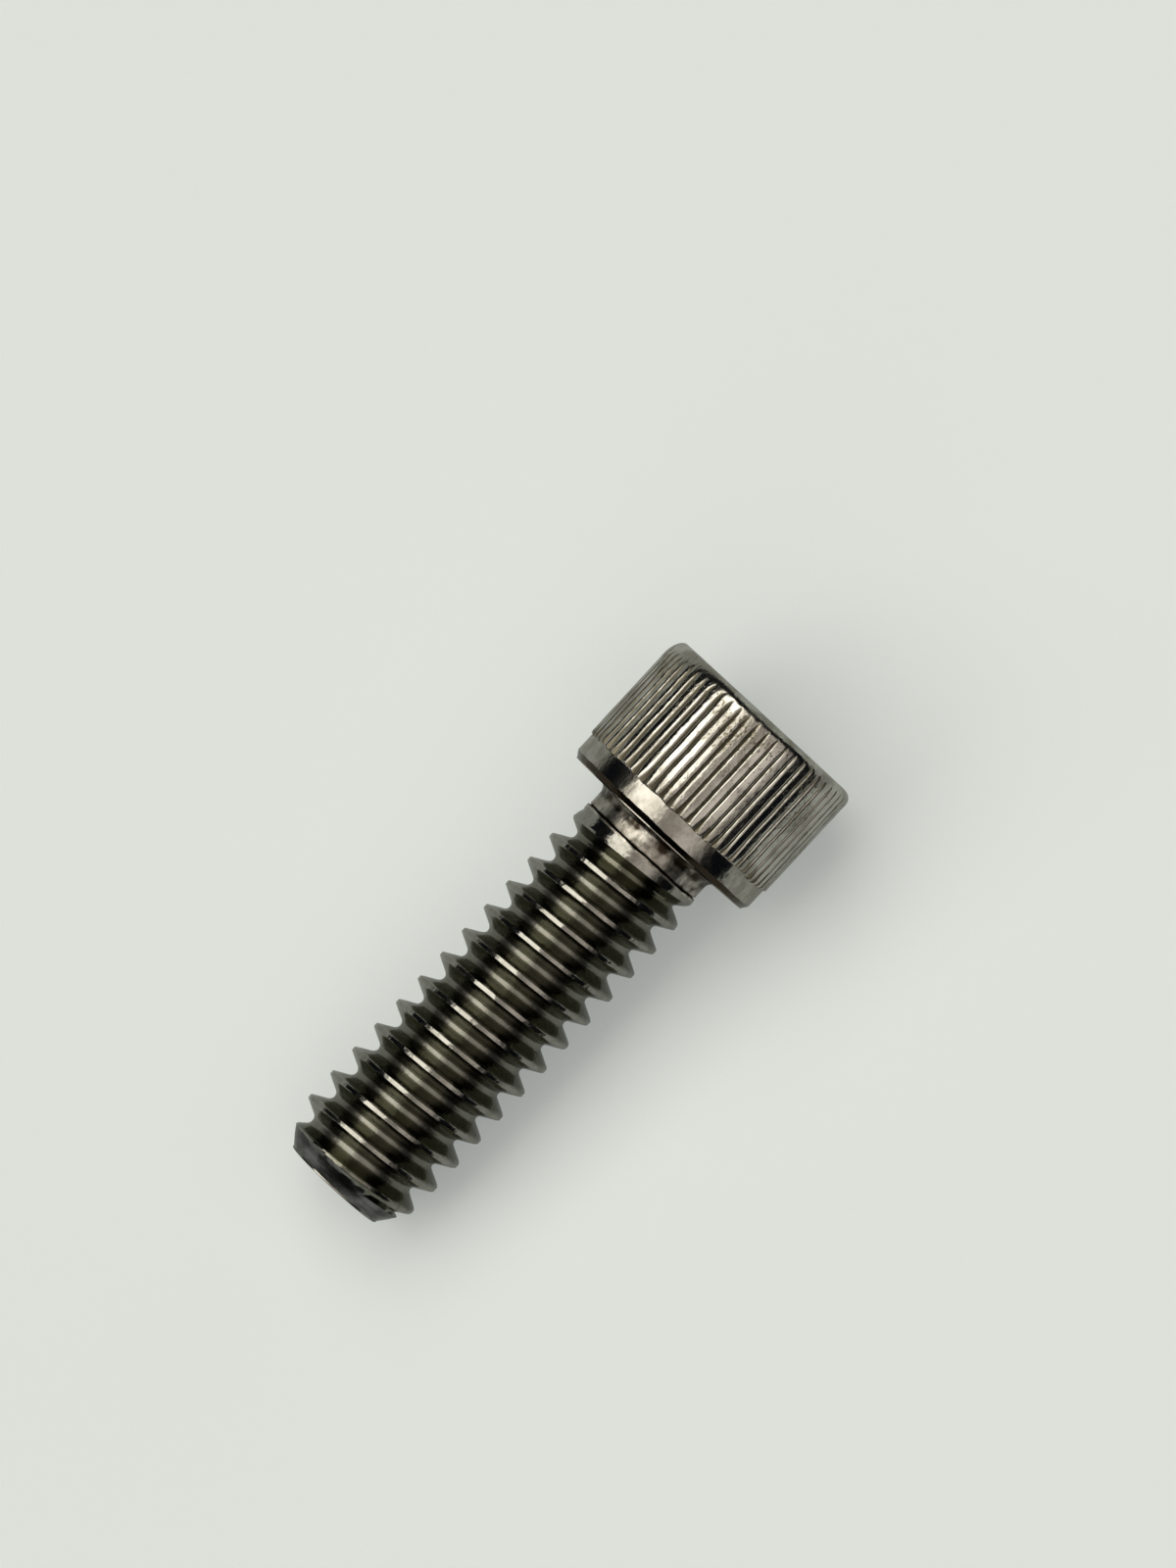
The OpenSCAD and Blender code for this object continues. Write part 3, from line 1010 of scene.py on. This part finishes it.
def make_stage():
    """A cloth that touches the head and the thread from behind, and a floor under the head."""
    outward = Vector((-math.sin(WALL_TURN), math.cos(WALL_TURN), 0))
    touch_head = outward * HEAD_R + Vector((0, 0, KNURL_TOP))
    touch_point = outward * THREAD_R + Vector((0, 0, TOTAL_L - POINT_L))
    up = (touch_point - touch_head).normalized()
    across = Vector((math.cos(WALL_TURN), math.sin(WALL_TURN), 0))
    cloth = one_sided("pale_cloth", CLOTH_PALE, CLOTH_GLOW, CLOTH_MIRRORED)
    backdrop = sheet("backdrop", touch_head, across, up, cloth)
    ground = one_sided("pale_floor", FLOOR_PALE, FLOOR_GLOW)
    floor = sheet("floor", Vector((0, 0, 0)), Vector((1, 0, 0)), Vector((0, 1, 0)), ground)
    # The cloth lights no dull surface, and only the camera sees the floor
    backdrop.visible_diffuse = False
    for sight in ("visible_diffuse", "visible_glossy", "visible_transmission", "visible_shadow"):
        setattr(floor, sight, False)


WINDOW_LIGHT = (2.3, 2.2, 2.04)
CEILING_LIGHT = (0.80, 0.73, 0.68)
FAR_LIGHT = (0.42, 0.44, 0.40)
DARK_LIGHT = (0.004, 0.005, 0.007)
# Where the window and the ceiling light lie, in degrees from -Y towards +X and up from level: from, to,
# and how soft their edges are
WINDOW_ROUND = (13, 53, 6)
WINDOW_UP = (-38, 48, 10)
CEILING_ROUND = (-60, 13, 4)
CEILING_UP = (-38, 56, 10)
# The ceiling light grows from its far edge on, and fades towards the window: from, to, and the shares
CEILING_GROWS = (-55, -24, 0.0, 1.0)
CEILING_FADES = (-20, 4, 1.0, 0.6)
# The far light begins lower than the first of these, in degrees, and is full lower than the second
FAR_DOWN = (-62, -72)
DEGREES = 180 / math.pi


def make_world():
    """A studio seen in the steel: a bright window, a dimmer ceiling light beside it, a far light low
    down, and dark elsewhere. The camera sees an even pale sky instead."""
    world = bpy.data.worlds.new("studio")
    bpy.context.scene.world = world
    world.use_nodes = True
    world.node_tree.nodes.clear()
    graph = Graph(world.node_tree)
    x, y, z = graph.parts(graph.value("ShaderNodeTexCoord", output="Generated"))
    azimuth = graph.math("ARCTAN2", x, y * -1.0) * DEGREES
    elevation = graph.math("ARCSINE", z) * DEGREES
    window = graph.between(azimuth, *WINDOW_ROUND) * graph.between(elevation, *WINDOW_UP)
    ceiling = graph.between(azimuth, *CEILING_ROUND) * graph.between(elevation, *CEILING_UP)
    ceiling = ceiling * graph.ramp(azimuth, *CEILING_GROWS, smooth=True)
    ceiling = ceiling * graph.ramp(azimuth, *CEILING_FADES, smooth=True)
    far = graph.ramp(elevation, *FAR_DOWN, smooth=True)
    dark = 1.0 - graph.math("MINIMUM", window + ceiling + far, 1.0)
    lights = ((window, WINDOW_LIGHT), (ceiling, CEILING_LIGHT), (far, FAR_LIGHT), (dark, DARK_LIGHT))
    lit = (0, 0, 0)
    for amount, colour in lights:
        part = graph.value("ShaderNodeVectorMath", (colour, amount), operation="MULTIPLY")
        lit = graph.value("ShaderNodeVectorMath", (lit, part), operation="ADD")
    camera = graph.value("ShaderNodeLightPath", output="Is Camera Ray")
    studio = graph.value("ShaderNodeBackground", {"Color": lit, "Strength": 1.0})
    pale = graph.value("ShaderNodeBackground", {"Color": SKY_PALE, "Strength": 1.0})
    graph.node("ShaderNodeOutputWorld", [graph.value("ShaderNodeMixShader", (camera, studio, pale))])


# The camera: from a third of a metre, turned so that the screw lies across the picture

AIM = Vector((3.34, 0, 6.67)) * MM
CAMERA_DISTANCE = 331.3 * MM
CAMERA_DIP = math.radians(1.25)
CAMERA_ROLL = math.radians(137.27)
# Focal length and sensor width, in the camera's own millimetres
LENS = 193.8
SENSOR_W = 36
CLIP_START = 0.01
CLIP_END = 10


def make_camera():
    """A camera on the -Y side, a little lower than its aim, turned about its line of sight."""
    back = Vector((0, -math.cos(CAMERA_DIP), -math.sin(CAMERA_DIP)))
    level = Vector((1, 0, 0))
    rise = back.cross(level)
    up = level * math.sin(CAMERA_ROLL) + rise * math.cos(CAMERA_ROLL)
    right = up.cross(back)
    data = bpy.data.cameras.new("camera")
    data.lens = LENS
    data.sensor_width = SENSOR_W
    data.clip_start = CLIP_START
    data.clip_end = CLIP_END
    camera = bpy.data.objects.new("camera", data)
    bpy.context.scene.collection.objects.link(camera)
    turn = Matrix((right, up, back)).transposed().to_4x4()
    camera.matrix_world = Matrix.Translation(AIM + back * CAMERA_DISTANCE) @ turn
    bpy.context.scene.camera = camera


make_camera()
make_world()
make_stage()
screw = make_screw()
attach(screw, "root")
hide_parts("screw")
bpy.context.scene.view_settings.view_transform = "Standard"
